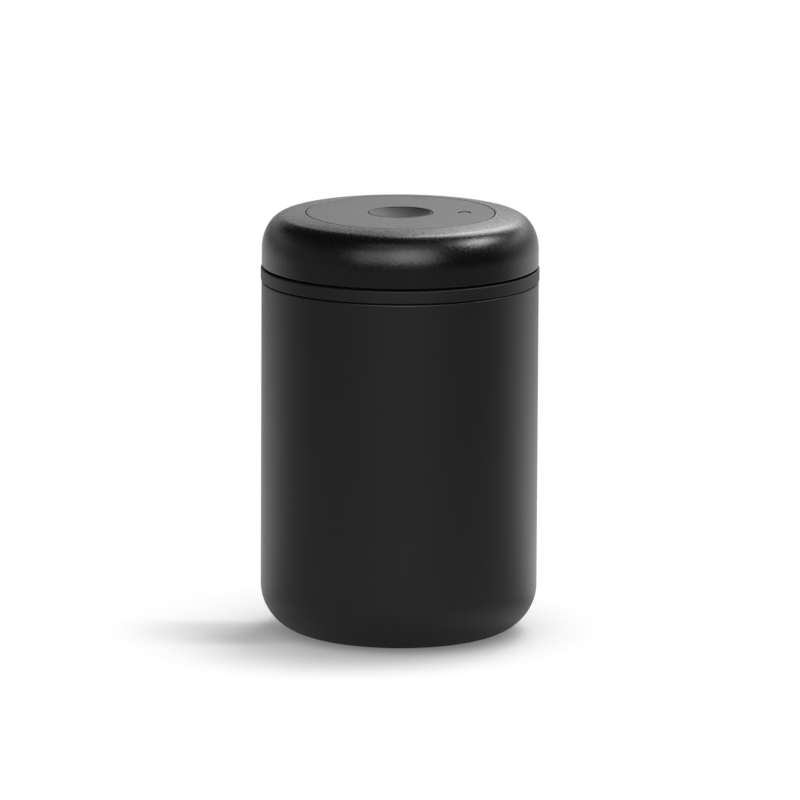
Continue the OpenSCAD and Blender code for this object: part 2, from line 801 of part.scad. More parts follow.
module cap_screws() {
  color("#8d9094")
    for (a = around(cap_screws_n))
      rotate([0, 0, a])
        translate([cap_screw_x, 0, cam_flange_z])
          rotate([180, 0, 0])
            screw(cap_screw_r, cam_flange_t + cap_screw_bite - hole_gap, cap_head_r, cap_head_h);
}

module piston() {
  mid = piston_z + piston_h / 2;
  rim_in = piston_r - piston_rim_w;
  hub_r = piston_in_r + piston_hub_w;
  arm_top = arm_z + arm_h;
  color("#77797d")
    difference() {
      union() {
        rotate_extrude()
          polygon([
            [piston_in_r, piston_z], [piston_r, piston_z], [piston_r, mid - outer_seal_h / 2],
            [piston_r - outer_seal_depth, mid - outer_seal_h / 2],
            [piston_r - outer_seal_depth, mid + outer_seal_h / 2],
            [piston_r, mid + outer_seal_h / 2], [piston_r, piston_z + piston_h],
            [rim_in, piston_z + piston_h], [rim_in, piston_z + piston_web_t],
            [hub_r, piston_z + piston_web_t], [hub_r, arm_top], [piston_in_r, arm_top],
            [piston_in_r, mid + inner_seal_h / 2],
            [piston_in_r + inner_seal_depth, mid + inner_seal_h / 2],
            [piston_in_r + inner_seal_depth, mid - inner_seal_h / 2],
            [piston_in_r, mid - inner_seal_h / 2]
          ]);
        for (a = around(arms, first_arm))
          rotate([0, 0, a])
            translate([hub_r - root, -arm_w / 2, arm_z])
              cube([arm_r - hub_r + root, arm_w, arm_h]);
      }
      for (a = around(arms, first_arm))
        rotate([0, 0, a])
          translate([arm_r - arm_socket, 0, pin_z])
            rotate([0, 90, 0])
              cylinder(r = pin_r + hole_gap, h = arm_socket + overrun);
      translate([valve_x, 0, 0])
        valve_holes(piston_z - overrun, piston_web_t + 2 * overrun);
    }
}

module piston_outer_seal() {
  color("#2f2f31")
    translate([0, 0, piston_z + piston_h / 2])
      seal_ring(piston_r - outer_seal_depth + seal_gap, bore_r - fit_gap,
                outer_seal_h - 2 * seal_gap);
}

module piston_inner_seal() {
  color("#2f2f31")
    translate([0, 0, piston_z + piston_h / 2])
      seal_ring(piston_in_r + inner_seal_depth - seal_gap, tube_r + fit_gap,
                inner_seal_h - 2 * seal_gap);
}

module exhaust_valve() {
  color("#c9c4bb")
    translate([valve_x, 0, piston_z + piston_web_t])
      umbrella_valve(piston_web_t);
}

module drive_pins() {
  color("#aeb1b5")
    for (a = around(arms, first_arm))
      rotate([0, 0, a])
        translate([arm_r - arm_socket, 0, pin_z])
          rotate([0, 90, 0])
            cylinder(r = pin_r, h = cam_r - pin_tip_gap - arm_r + arm_socket);
}

module release_button() {
  rise = asin(dish_r / dish_sphere_r);
  color("#1d1e20")
    rotate_extrude()
      polygon(concat(
        [[0, stem_top], [stem_r + hole_gap, stem_top], [stem_r + hole_gap, button_boss_z],
         [button_boss_r, button_boss_z], [button_boss_r, button_under],
         [button_r - button_skirt_w, button_under], [button_r - button_skirt_w, button_skirt_z],
         [button_r, button_skirt_z], [button_r, top_z - seam_bevel]],
        arc(0, top_z - dish_depth + dish_sphere_r, dish_sphere_r, rise - 90, -90, corner_steps)));
}

module release_stem() {
  color("#aeb1b5")
    difference() {
      union() {
        translate([0, 0, seat_z])
          cylinder(r = stem_r, h = stem_top - hole_gap - seat_z);
        translate([0, 0, stem_z])
          cylinder(r = stem_neck_r, h = seat_z - stem_z + root);
      }
      ring(stem_neck_r - clip_grip, stem_neck_r + overrun, clip_z, clip_t);
    }
}

module release_seal() {
  color("#c9c4bb")
    ring(stem_neck_r + hole_gap, poppet_r, seat_z - poppet_t, poppet_t);
}

module stem_clip() {
  grip_r = stem_neck_r - clip_grip + hole_gap;
  color("#8d9094")
    difference() {
      ring(grip_r, clip_r, clip_z + hole_gap / 2, clip_t - hole_gap);
      translate([0, -grip_r, clip_z - overrun])
        cube([clip_r + overrun, 2 * grip_r, clip_t + 2 * overrun]);
    }
}

module release_spring() {
  color("#c3c6ca")
    coil(spring_r, spring_wire_r, cylinder_top + spring_end_gap, button_under - spring_end_gap,
         spring_turns);
}

module indicator_housing() {
  color("#8a8c90")
    difference() {
      union() {
        translate([indicator_x, 0, indicator_cup_z])
          cylinder(r = indicator_cup_r, h = indicator_cup_h);
        translate([sense_x, 0, floor_z - sense_seat])
          cylinder(r = sense_r, h = indicator_cup_z - floor_z + sense_seat + root);
      }
      translate([indicator_x, 0, indicator_cup_z + indicator_floor_t])
        cylinder(r = indicator_bore_r, h = indicator_cup_h);
      translate([sense_x, 0, floor_z - sense_seat - overrun])
        cylinder(r = sense_bore_r,
                 h = indicator_cup_z - floor_z + sense_seat + indicator_floor_t + 2 * overrun);
    }
}

module indicator_pin() {
  head_z = indicator_head_top - indicator_head_h;
  mid = head_z + indicator_head_h / 2;
  tip = top_z - indicator_top_gap;
  color("#26282a")
    translate([indicator_x, 0, 0])
      rotate_extrude()
        polygon([
          [0, head_z], [indicator_head_r, head_z],
          [indicator_head_r, mid - indicator_seal_h / 2],
          [indicator_head_r - indicator_seal_depth, mid - indicator_seal_h / 2],
          [indicator_head_r - indicator_seal_depth, mid + indicator_seal_h / 2],
          [indicator_head_r, mid + indicator_seal_h / 2], [indicator_head_r, indicator_head_top],
          [indicator_r, indicator_head_top], [indicator_r, tip - seam_bevel],
          [indicator_r - seam_bevel, tip], [0, tip]
        ]);
}

module indicator_seal() {
  color("#2f2f31")
    translate([indicator_x, 0, 0])
      ring(indicator_head_r - indicator_seal_depth + hole_gap, indicator_bore_r - fit_gap,
           indicator_head_top - indicator_head_h / 2 - indicator_seal_h / 2 + hole_gap,
           indicator_seal_h - 2 * hole_gap);
}

module indicator_spring() {
  color("#c3c6ca")
    translate([indicator_x, 0, 0])
      coil(sense_spring_r, sense_wire_r, indicator_cup_z + indicator_floor_t + spring_end_gap,
           indicator_head_top - indicator_head_h - spring_end_gap, sense_spring_turns);
}

canister_body();
lid_base();
rim_gasket();
bottom_cover();
cover_screws();
filter_mesh();
inlet_valve();
pump_cylinder();
cylinder_seal();
guide_tower();
tower_screws();
glide_ring();
top_plate();
twist_cap();
cam_ring();
cap_screws();
piston();
piston_outer_seal();
piston_inner_seal();
exhaust_valve();
drive_pins();
release_button();
release_stem();
release_seal();
stem_clip();
release_spring();
indicator_housing();
indicator_pin();
indicator_seal();
indicator_spring();
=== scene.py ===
# %% [markdown]
# # A matte black vacuum canister, dressed over its frame
#
# The real thing is a drawn steel jar with a powder coat, closed by a lid that pumps the air out when its cap is
# turned. Nearly everything on it is round, so nearly every piece here is a surface of revolution: an outline
# worked out point by point, carried round the axis. What makes it look real is small: the radius of each edge,
# the grain of each plastic, and the way the light slides off the shoulder. The frame below holds the pieces at
# their true places, in metres, with the foot on z = 0.

# %% Load the frame
import math

import bpy
import numpy as np
from mathutils import Matrix, Vector


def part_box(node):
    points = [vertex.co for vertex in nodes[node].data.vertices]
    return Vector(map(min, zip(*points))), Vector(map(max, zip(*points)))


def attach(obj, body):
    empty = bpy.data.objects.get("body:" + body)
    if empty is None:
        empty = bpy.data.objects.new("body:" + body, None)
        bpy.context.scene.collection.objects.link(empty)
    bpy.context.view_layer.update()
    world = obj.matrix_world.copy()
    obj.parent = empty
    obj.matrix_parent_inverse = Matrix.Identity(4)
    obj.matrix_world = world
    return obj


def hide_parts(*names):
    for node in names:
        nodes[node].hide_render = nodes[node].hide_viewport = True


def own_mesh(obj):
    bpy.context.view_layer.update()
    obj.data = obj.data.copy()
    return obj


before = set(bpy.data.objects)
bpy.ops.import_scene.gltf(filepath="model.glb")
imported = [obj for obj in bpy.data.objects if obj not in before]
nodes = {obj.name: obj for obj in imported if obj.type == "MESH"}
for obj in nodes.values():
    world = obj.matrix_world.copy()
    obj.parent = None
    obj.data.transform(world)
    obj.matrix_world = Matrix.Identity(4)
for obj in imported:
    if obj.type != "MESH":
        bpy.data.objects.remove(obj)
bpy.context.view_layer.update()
MM = 0.001


# %% [markdown]
# ## Outlines and turned surfaces
#
# An outline is a list of corners (r, z) with a radius at each. Blender's Bevel modifier could round the edges
# later, but a lathe outline can carry exact arcs from the start, and then the highlights along the edges are
# as fine as on a moulded part. Long straight stretches get a ring of points close to each arc, which keeps
# smooth shading from bending across the flat parts.

# %% Outline helper
def outline(corners, closed=False, steps=6, near=0.25, far=4.0):
    """Each corner (r, z, radius) turns into an arc tangent to both of its sides.

    With u and v the unit vectors towards the neighbours and h half the angle between them, the arc starts
    radius / tan(h) from the corner, its centre lies radius / sin(h) along the bisector, and its points are
    the slerp of the two radius vectors. Straight stretches are then sampled every `far` mm, and again `near`
    mm from both ends."""
    c = np.array([p[:2] for p in corners], float)
    radius = np.array([p[2] if len(p) > 2 else 0.0 for p in corners], float)[:, None]
    u, v = np.roll(c, 1, 0) - c, np.roll(c, -1, 0) - c
    u /= np.linalg.norm(u, axis=1, keepdims=True)
    v /= np.linalg.norm(v, axis=1, keepdims=True)
    half = np.arccos(np.clip((u * v).sum(1, keepdims=True), -1, 1)) / 2
    if not closed:
        radius[[0, -1]] = 0
    bend = np.maximum(np.pi - 2 * half, 1e-6)
    mid = u + v
    mid /= np.maximum(np.linalg.norm(mid, axis=1, keepdims=True), 1e-9)
    centre = c + mid * radius / np.sin(half)
    first = c + u * radius / np.tan(half) - centre
    last = c + v * radius / np.tan(half) - centre
    t = np.linspace(0, 1, steps + 1)[None, :, None]
    w = bend[:, :, None]
    arcs = (np.sin((1 - t) * w) * first[:, None] + np.sin(t * w) * last[:, None]) / np.sin(w)
    points = (centre[:, None] + arcs).reshape(-1, 2)
    if closed:
        points = np.vstack([points, points[:1]])
    keep = np.r_[True, np.linalg.norm(np.diff(points, axis=0), axis=1) > 1e-6]
    points = points[keep]
    s = np.r_[0, np.cumsum(np.linalg.norm(np.diff(points, axis=0), axis=1))]
    length = np.diff(s)
    long = length > 3 * near
    spans = [np.linspace(a, b, int(np.ceil((b - a) / far)) + 1)[1:-1] for a, b in zip(s[:-1][long], s[1:][long])]
    s_all = np.unique(np.round(np.concatenate([s, s[:-1][long] + near, s[1:][long] - near, *spans]), 6))
    points = np.stack([np.interp(s_all, s, points[:, 0]), np.interp(s_all, s, points[:, 1])], 1)
    return points[:-1] if closed else points


# %% Arc helper
def arc(x, y, width, start, end, steps, height=None):
    """Points x + width cos a, y + height sin a, for a from start to end in degrees; round without a height."""
    a = np.radians(np.linspace(start, end, steps + 1))
    return np.stack([x + width * np.cos(a), y + (height or width) * np.sin(a)], 1)


# %% Mesh helper
def make_mesh(name, points, faces, attribute=None):
    """A mesh object from points in mm (n, 3) and lists of faces; attribute is (name, one number per point)."""
    mesh = bpy.data.meshes.new(name)
    mesh.from_pydata((np.asarray(points, float) * MM).tolist(), [], faces)
    mesh.polygons.foreach_set("use_smooth", np.ones(len(mesh.polygons), bool))
    if attribute:
        layer = mesh.attributes.new(attribute[0], "FLOAT", "POINT")
        layer.data.foreach_set("value", np.asarray(attribute[1], np.float32))
    mesh.update()
    piece = bpy.data.objects.new(name, mesh)
    bpy.context.scene.collection.objects.link(piece)
    print(f"{name}: {len(mesh.vertices)} points, {len(mesh.polygons)} faces")
    return piece


# %% Turned surface
def turned(profile, closed=False, segments=288, centre=(0.0, 0.0)):
    """Points (r cos a, r sin a, z) for each profile point (r, z) and each angle a = 2 pi j / segments.

    The profile runs anticlockwise in the (r, z) plane, so the faces point outwards. A profile end on the axis
    becomes one point with a fan of triangles. Returns points (n, 3), faces and, per point, its profile row."""
    profile = np.asarray(profile, float)
    rows = len(profile)
    poles = [] if closed else [i for i in (0, rows - 1) if profile[i, 0] < 1e-6]
    a = 2 * np.pi * np.arange(segments) / segments
    body = [i for i in range(rows) if i not in poles]
    r, z = profile[body, 0][:, None], profile[body, 1][:, None]
    grid = np.stack([centre[0] + r * np.cos(a), centre[1] + r * np.sin(a), z + 0 * a], 2)
    index = np.arange(len(body) * segments).reshape(len(body), segments)
    if closed:
        index = np.vstack([index, index[:1]])
    low, high = index[:-1], index[1:]
    quads = np.stack([low, np.roll(low, -1, 1), np.roll(high, -1, 1), high], 2).reshape(-1, 4)
    points, faces, row = grid.reshape(-1, 3), quads.tolist(), np.repeat(body, segments)
    for pole in poles:
        tip = len(points)
        points = np.vstack([points, [centre[0], centre[1], profile[pole, 1]]])
        row = np.r_[row, pole]
        edge = index[0] if pole == 0 else index[-1]
        step = np.roll(edge, -1)
        fan = np.stack([np.full(segments, tip), step, edge] if pole == 0 else [edge, step, np.full(segments, tip)], 1)
        faces += fan.tolist()
    return points, faces, row


# %% Joining helper
def joined(*parts):
    """Several (points, faces) pairs as one: each part's faces are shifted past the points before it."""
    points, faces, offset = [], [], 0
    for p, f, *_ in parts:
        points.append(np.asarray(p, float))
        faces += [[i + offset for i in face] for face in f]
        offset += len(p)
    return np.vstack(points), faces


# %% [markdown]
# ## Shader maths as expressions
#
# A material here is a short text of sums and products over the surface: a grain, a mask, a mix. One class wraps a
# socket so that such a text can be written as plain Python, and one method adds any other node.

# %% Socket class
class Term:
    """One output socket. Sums, products and quotients of terms and numbers add Math nodes."""

    def __init__(self, finish, socket):
        self.finish, self.socket = finish, socket

    def maths(self, operation, a, b):
        return self.finish.add("ShaderNodeMath", {"operation": operation}, {0: a, 1: b})

    def __add__(self, other):
        return self.maths("ADD", self, other)

    def __sub__(self, other):
        return self.maths("SUBTRACT", self, other)

    def __rsub__(self, other):
        return self.maths("SUBTRACT", other, self)

    def __mul__(self, other):
        return self.maths("MULTIPLY", self, other)

    def __truediv__(self, other):
        return self.maths("DIVIDE", self, other)

    def step(self, low, high):
        """0 below low, 1 above high, and a smooth rise between."""
        return self.finish.add("ShaderNodeMapRange", {"interpolation_type": "SMOOTHSTEP"},
                               {"Value": self, "From Min": low, "From Max": high}, "Result")

    __radd__, __rmul__ = __add__, __mul__


# %% Finish class
class Finish:
    """A material under construction: one Principled shader and the nodes that feed it."""

    def __init__(self, name, **constants):
        self.material = bpy.data.materials.new(name)
        self.material.use_nodes = True
        self.tree = self.material.node_tree
        self.shader = next(n for n in self.tree.nodes if n.type == "BSDF_PRINCIPLED")
        for key, value in constants.items():
            self.shader.inputs[key.replace("_", " ")].default_value = value

    def add(self, kind, settings=None, sockets=None, out=0):
        """A node of any type: its settings first, then a value or a link for each named or numbered socket."""
        node = self.tree.nodes.new(kind)
        for key, value in (settings or {}).items():
            setattr(node, key, value)
        for key, value in (sockets or {}).items():
            self.link(value, node.inputs[key])
        return Term(self, node.outputs[out])

    def link(self, value, socket):
        if isinstance(value, Term):
            self.tree.links.new(value.socket, socket)
        elif isinstance(value, (tuple, list)) and len(value) == 3 and socket.type == "RGBA":
            socket.default_value = (*value, 1.0)
        else:
            socket.default_value = value

    def feed(self, name, value):
        self.link(value, self.shader.inputs[name])

    def place(self, scale=(1.0, 1.0, 1.0)):
        """Object coordinates, which are metres in the frame, times a scale per axis."""
        here = self.add("ShaderNodeTexCoord", out="Object")
        return here if scale == (1.0, 1.0, 1.0) else self.add(
            "ShaderNodeVectorMath", {"operation": "MULTIPLY"}, {0: here, 1: scale})

    def noise(self, size_mm, detail=2.0, roughness=0.5, vector=None):
        """Noise whose cells are about size_mm across."""
        return self.add("ShaderNodeTexNoise", {}, {
            "Vector": vector or self.place(), "Scale": 1 / (size_mm * MM), "Detail": detail,
            "Roughness": roughness}, "Fac")

    def cells(self, size_mm):
        """Distance to the nearest cell point of a smooth Voronoi pattern, with cells about size_mm across."""
        return self.add("ShaderNodeTexVoronoi", {"feature": "SMOOTH_F1"}, {
            "Vector": self.place(), "Scale": 1 / (size_mm * MM)}, "Distance")

    def mix(self, factor, a, b):
        """Colour a where factor is 0 and colour b where it is 1."""
        return self.add("ShaderNodeMix", {"data_type": "RGBA"}, {0: factor, 6: a, 7: b}, 2)

    def bump(self, height, depth_mm, strength=1.0):
        """Tilts the surface as if it rose by depth_mm where height is 1."""
        self.feed("Normal", self.add("ShaderNodeBump", {}, {
            "Height": height, "Distance": depth_mm * MM, "Strength": strength}, "Normal"))

    def radius(self):
        """Distance from the axis, in metres."""
        flat = self.place((1.0, 1.0, 0.0))
        return self.add("ShaderNodeVectorMath", {"operation": "LENGTH"}, {0: flat}, "Value")

    def height(self):
        """Height above the table, in metres."""
        return self.add("ShaderNodeSeparateXYZ", {}, {0: self.place()}, "Z")


# %% [markdown]
# ## The powder coat, and the bare steel inside
#
# Powder coat is a skin of melted plastic dust: fine low grains about a third of a millimetre wide over a slower
# swell, called orange peel, with a dry sheen. The inside of the jar is left as brushed steel, with lines that run
# round it. Both belong to one pressed body, so one material holds both, and a number stored in the mesh says
# where the coat ends.

# %% Powder coat and steel
def coat_finish():
    f = Finish("powder_coat_and_steel", Specular_IOR_Level=0.5)
    bare = f.add("ShaderNodeAttribute", {"attribute_name": "bare"}, {}, "Fac").step(0.4, 0.6)
    grain = f.noise(0.34, 2.0, 0.55)
    peel = f.noise(1.5, 1.0)
    cloud = f.noise(28.0, 2.0)
    r = f.radius()
    turn = f.add("ShaderNodeVectorMath", {"operation": "NORMALIZE"}, {0: f.place((1.0, 1.0, 0.0))})
    x = f.add("ShaderNodeSeparateXYZ", {}, {0: turn}, "X")
    y = f.add("ShaderNodeSeparateXYZ", {}, {0: turn}, "Y")
    along = f.add("ShaderNodeCombineXYZ", {}, {0: x * 1.6, 1: y * 1.6, 2: (r + f.height()) * 3200})
    lines = f.add("ShaderNodeTexNoise", {}, {"Vector": along, "Scale": 1.0, "Detail": 3.0, "Roughness": 0.6}, "Fac")
    black = f.mix(grain * 0.5 + cloud * 0.5, (0.0020, 0.0020, 0.0021), (0.0040, 0.0040, 0.0042))
    steel = f.mix(lines, (0.42, 0.42, 0.41), (0.62, 0.61, 0.60))
    f.feed("Base Color", f.mix(bare, black, steel))
    f.feed("Metallic", bare)
    coated = 0.43 + (grain - 0.5) * 0.10 + (cloud - 0.5) * 0.04
    f.feed("Roughness", (1 - bare) * coated + bare * (0.26 + lines * 0.16))
    f.bump((1 - bare) * (grain * 0.7 + peel * 0.5) + bare * lines * 0.10, 0.05, 0.5)
    return f.material


powder_coat = coat_finish()


# %% [markdown]
# ## Moulded plastics
#
# The lid's plastics are all near-black, but they aren't alike. The cap's mould was spark-eroded, which leaves a
# pebbled grain that breaks its highlights into small sparks. The band and the button come from finer, duller tools,
# and the top plate sits between. One function makes them all from a gloss, a grain width and a grain depth. With a
# rim radius, whatever lies outside it is glossier.

# %% Moulded plastic
def moulded(name, dark, light, gloss, grain_mm, depth_mm, spread=0.08, specular=0.5, rim=None):
    f = Finish(name, Specular_IOR_Level=specular)
    if rim:
        gloss = gloss - f.radius().step((rim - 0.15) * MM, rim * MM) * 0.28
    pebbles = f.cells(grain_mm)
    fine = f.noise(grain_mm * 0.8, 3.0, 0.6)
    coarse = f.noise(grain_mm * 2.2, 2.0, 0.6)
    cloud = f.noise(22.0, 2.0)
    height = fine * 0.40 + coarse * 0.45 + (1 - pebbles) * 0.15
    f.feed("Base Color", f.mix(fine * 0.6 + cloud * 0.4, dark, light))
    f.feed("Roughness", gloss + (coarse - 0.5) * spread + (cloud - 0.5) * 0.05)
    f.bump(height, depth_mm, 0.8)
    return f.material


cap_plastic = moulded("cap_plastic", (0.0012, 0.0012, 0.0013), (0.0030, 0.0030, 0.0031), 0.285, 0.50, 0.12, 0.14,
                      specular=0.46)
plate_plastic = moulded("plate_plastic", (0.0020, 0.0020, 0.0021), (0.0040, 0.0040, 0.0041), 0.34, 0.46, 0.16)
button_plastic = moulded("button_plastic", (0.0020, 0.0020, 0.0021), (0.0036, 0.0036, 0.0037), 0.60, 0.30, 0.018,
                         rim=13.2)
band_plastic = moulded("band_plastic", (0.0030, 0.0030, 0.0031), (0.0050, 0.0050, 0.0052), 0.52, 0.30, 0.016,
                       specular=0.42)
pin_plastic = moulded("pin_plastic", (0.0030, 0.0030, 0.0031), (0.0050, 0.0050, 0.0051), 0.34, 0.28, 0.010)
inner_plastic = moulded("inner_plastic", (0.045, 0.047, 0.052), (0.065, 0.067, 0.072), 0.50, 0.60, 0.050)
bearing_plastic = moulded("bearing_plastic", (0.62, 0.61, 0.57), (0.76, 0.75, 0.71), 0.38, 0.50, 0.020)


# %% [markdown]
# ## Rubbers and small steel parts
#
# Silicone and rubber have no grain to speak of, only a soft waxy gloss with faint flow marks and a little dust.
# The screws, pins, springs and the filter are plain steel: rolled, drawn or woven, so their lines run different
# ways, but at this size a fine noise and a varied gloss tell steel from paint.

# %% Rubber
def rubber(name, dark, light, gloss):
    f = Finish(name, Specular_IOR_Level=0.4)
    flow = f.noise(3.5, 3.0, 0.55)
    dust = f.noise(0.5, 1.0).step(0.62, 0.80)
    f.feed("Base Color", f.mix(flow * 0.8 + dust * 0.5, dark, light))
    f.feed("Roughness", gloss + (flow - 0.5) * 0.12 + dust * 0.12)
    f.bump(flow * 0.7 + dust * 0.3, 0.03, 0.5)
    return f.material


black_rubber = rubber("black_rubber", (0.014, 0.014, 0.015), (0.030, 0.030, 0.031), 0.46)
seal_rubber = rubber("seal_rubber", (0.22, 0.038, 0.026), (0.33, 0.062, 0.044), 0.42)
valve_silicone = rubber("valve_silicone", (0.55, 0.53, 0.49), (0.70, 0.68, 0.63), 0.40)


# %% Steel
def steel(name, dark, light, gloss, stretch):
    f = Finish(name)
    f.shader.inputs["Metallic"].default_value = 1.0
    drawn = f.noise(0.5, 3.0, 0.6, f.place(stretch))
    stain = f.noise(4.0, 2.0)
    f.feed("Base Color", f.mix(drawn * 0.5 + stain * 0.5, dark, light))
    f.feed("Roughness", gloss + (drawn - 0.5) * 0.18)
    f.bump(drawn, 0.012, 0.6)
    return f.material


screw_steel = steel("screw_steel", (0.42, 0.43, 0.44), (0.58, 0.59, 0.60), 0.30, (1.0, 1.0, 0.2))
pin_steel = steel("pin_steel", (0.55, 0.55, 0.56), (0.70, 0.70, 0.71), 0.18, (0.3, 1.0, 1.0))
spring_steel = steel("spring_steel", (0.50, 0.50, 0.51), (0.68, 0.68, 0.69), 0.24, (1.0, 1.0, 1.0))
mesh_steel = steel("mesh_steel", (0.48, 0.48, 0.48), (0.66, 0.66, 0.65), 0.34, (1.0, 1.0, 1.0))
finishes = {
    "body_coat": powder_coat, "band_plastic": band_plastic, "cap_plastic": cap_plastic,
    "top_plastic": plate_plastic, "button_plastic": button_plastic, "indicator_plastic": pin_plastic,
    "inner_plastic": inner_plastic, "bearing_plastic": bearing_plastic, "black_rubber": black_rubber,
    "seal_rubber": seal_rubber, "valve_silicone": valve_silicone, "screw_steel": screw_steel,
    "pin_steel": pin_steel, "spring_steel": spring_steel, "mesh_steel": mesh_steel,
}
print(len(finishes), "finishes")


# %% Dress helper
def dress(piece, slot, body, *replaced):
    """Gives a piece its finish, the body that carries it and the frame nodes that it stands for."""
    piece.data.materials.append(finishes[slot])
    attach(piece, body)
    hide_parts(*replaced)
    return piece


# %% [markdown]
# ## The jar
#
# The jar is one sheet of steel, drawn deep: a wall, a corner of 20.4 mm radius, a ring to stand on, and a raised
# middle. Its mouth is rolled over to the outside of the sheet, and the lid sits over it. The outline below runs up the
# outside, over the mouth, and back down the inside, so one closed shell has both faces of the sheet.

# %% Jar
R, H, WALL, CORNER, RISE = 59.95, 154.1, 0.8, 20.4, 1.2
FOOT_IN = 32.05
outside = np.vstack([
    outline([(0, RISE), (FOOT_IN, RISE, 1.0), (FOOT_IN + RISE, 0, 0.8), (R - CORNER, 0)], steps=5),
    arc(R - CORNER, CORNER, CORNER, -90, 0, 44)[1:],
    outline([(R, CORNER), (R, H - 0.2, 0.72), (R - WALL, H - 0.2, 0.07), (R - WALL, H - 1.0)], far=6.0, steps=10)[1:]])
inside = np.vstack([
    arc(R - CORNER, CORNER, CORNER - WALL, 0, -90, 40)[1:],
    outline([(R - CORNER, WALL), (FOOT_IN + RISE + WALL / 2, WALL, 0.8), (FOOT_IN + WALL / 2, RISE + WALL, 1.0),
             (0, RISE + WALL)], steps=5)[1:]])
jar_profile = np.vstack([outside, inside])
jar_points, jar_faces, jar_row = turned(jar_profile)
jar_bare = (jar_row >= len(outside) - 6).astype(float)
dress(make_mesh("steel_jar", jar_points, jar_faces, ("bare", jar_bare)), "body_coat", "body", "canister_body")


# %% [markdown]
# ## The lid's base
#
# Below the slit sits the band, the one part of the lid's base that shows when it is closed. It overhangs the jar
# by a third of a millimetre. Inside the jar it goes on as a plug with a deep groove for the gasket, and above the slit
# a wall hides the works. It is one moulding, so it is one outline again, with ribs and bosses set on its floor.

# %% Lid base outline
BAND_R, BAND_Z, BAND_TOP = 60.25, 154.4, 159.8
PLUG_R, PLUG_IN, GROOVE_R, GROOVE_Z, GROOVE_TOP = 57.85, 55.9, 56.45, 136.0, 148.0
UP_R, UP_IN, UP_TOP = 56.9, 54.9, 164.8
LID_FLOOR, FLOOR_UNDER, PLUG_Z, COVER_TOP = 126.5, 124.0, 114.4, 116.7
TUBE_R, TUBE_IN, TUBE_TOP, TUBE_ROOF = 7.0, 5.0, 150.5, 148.5
GUIDE_R, SEAT_R, SEAT_Z = 3.28, 6.2, 123.4
base_profile = outline([
    (PLUG_IN, PLUG_Z, 0.2), (PLUG_R, PLUG_Z, 1.0), (PLUG_R, GROOVE_Z, 0.2), (GROOVE_R, GROOVE_Z, 0.2),
    (GROOVE_R, GROOVE_TOP, 0.2), (PLUG_R, GROOVE_TOP, 0.2), (PLUG_R, BAND_Z, 0.3), (BAND_R, BAND_Z, 0.35),
    (BAND_R, BAND_TOP, 0.45), (UP_R, BAND_TOP, 0.3), (UP_R, UP_TOP, 0.3), (UP_IN, UP_TOP, 0.3),
    (UP_IN, LID_FLOOR, 0.4), (TUBE_R, LID_FLOOR, 0.3), (TUBE_R, TUBE_TOP, 0.2), (GUIDE_R, TUBE_TOP, 0.1),
    (GUIDE_R, TUBE_ROOF, 0.1), (TUBE_IN, TUBE_ROOF, 0.1), (TUBE_IN, SEAT_Z, 0.1), (SEAT_R, SEAT_Z, 0.1),
    (SEAT_R, FLOOR_UNDER, 0.1), (UP_IN, FLOOR_UNDER, 0.3), (UP_IN, COVER_TOP, 0.1), (PLUG_IN, COVER_TOP, 0.1)],
    closed=True, steps=6)


# %% Boxes and bosses
def block(length, width, height, turn, x, z):
    """A box with its corner at radius x, centred on the angle turn in degrees, on height z."""
    c = np.array([[i, j, k] for i in (0, 1) for j in (0, 1) for k in (0, 1)], float)
    p = c * [length, width, height] + [x, -width / 2, z]
    a = math.radians(turn)
    spin = np.array([[math.cos(a), -math.sin(a), 0], [math.sin(a), math.cos(a), 0], [0, 0, 1]])
    return p @ spin.T, [[0, 1, 3, 2], [4, 6, 7, 5], [0, 4, 5, 1], [2, 3, 7, 6], [0, 2, 6, 4], [1, 5, 7, 3]]


def boss(radius, z0, z1, x, turn, hole=0.0, segments=40):
    """A short post round its own axis at distance x from the middle."""
    a = math.radians(turn)
    corners = [(hole, z0, 0.1), (radius, z0, 0.25), (radius, z1, 0.1), (hole, z1, 0.1)]
    profile = outline(corners if hole else [(0, z0), *corners[1:3], (0, z1)], closed=hole > 0, steps=3)
    return turned(profile, hole > 0, segments, (x * math.cos(a), x * math.sin(a)))


SUNK = FLOOR_UNDER + 0.6
ribs = [block(15.4, 1.6, 10.6, 15 + 30 * k, 39.6, LID_FLOOR - 0.6) for k in range(12)]
tower_bosses = [boss(3.4, 119.0, SUNK, 31.5, 30 + 120 * k) for k in range(3)]
cover_bosses = [boss(3.4, COVER_TOP, SUNK, 47.5, 90 + 120 * k, 1.5) for k in range(3)]
filter_cup = turned(outline([(5.2, 120.6, 0.1), (5.6, 120.6), (5.6, 120.2, 0.1), (6.8, 120.2, 0.2), (6.8, SUNK),
                             (5.2, SUNK)], closed=True, steps=3), True, 64, (-15.0, 0.0))
base_points, base_faces = joined(turned(base_profile, True), *ribs, *tower_bosses, *cover_bosses, filter_cup)
dress(make_mesh("lid_base_moulding", base_points, base_faces), "band_plastic", "lid", "lid_base")


# %% [markdown]
# ## The gasket
#
# A silicone ring fills the plug's groove. Two thin fins reach out and bend against the wall of the jar: they make
# the seal, and they are what the hand feels when the lid goes in.

# %% Gasket
gasket_profile = outline([
    (56.5, 136.1, 0.1), (PLUG_R, 136.1, 0.25), (PLUG_R, 138.5, 0.3), (58.83, 140.35, 0.12), (58.83, 140.78, 0.12),
    (PLUG_R, 140.8, 0.3), (PLUG_R, 143.3, 0.3), (58.83, 145.15, 0.12), (58.83, 145.58, 0.12), (PLUG_R, 145.6, 0.3),
    (PLUG_R, 147.9, 0.25), (56.5, 147.9, 0.1)], closed=True, steps=4, near=0.12, far=1.2)
dress(make_mesh("finned_gasket", *turned(gasket_profile, True)[:2]), "black_rubber", "lid", "rim_gasket")


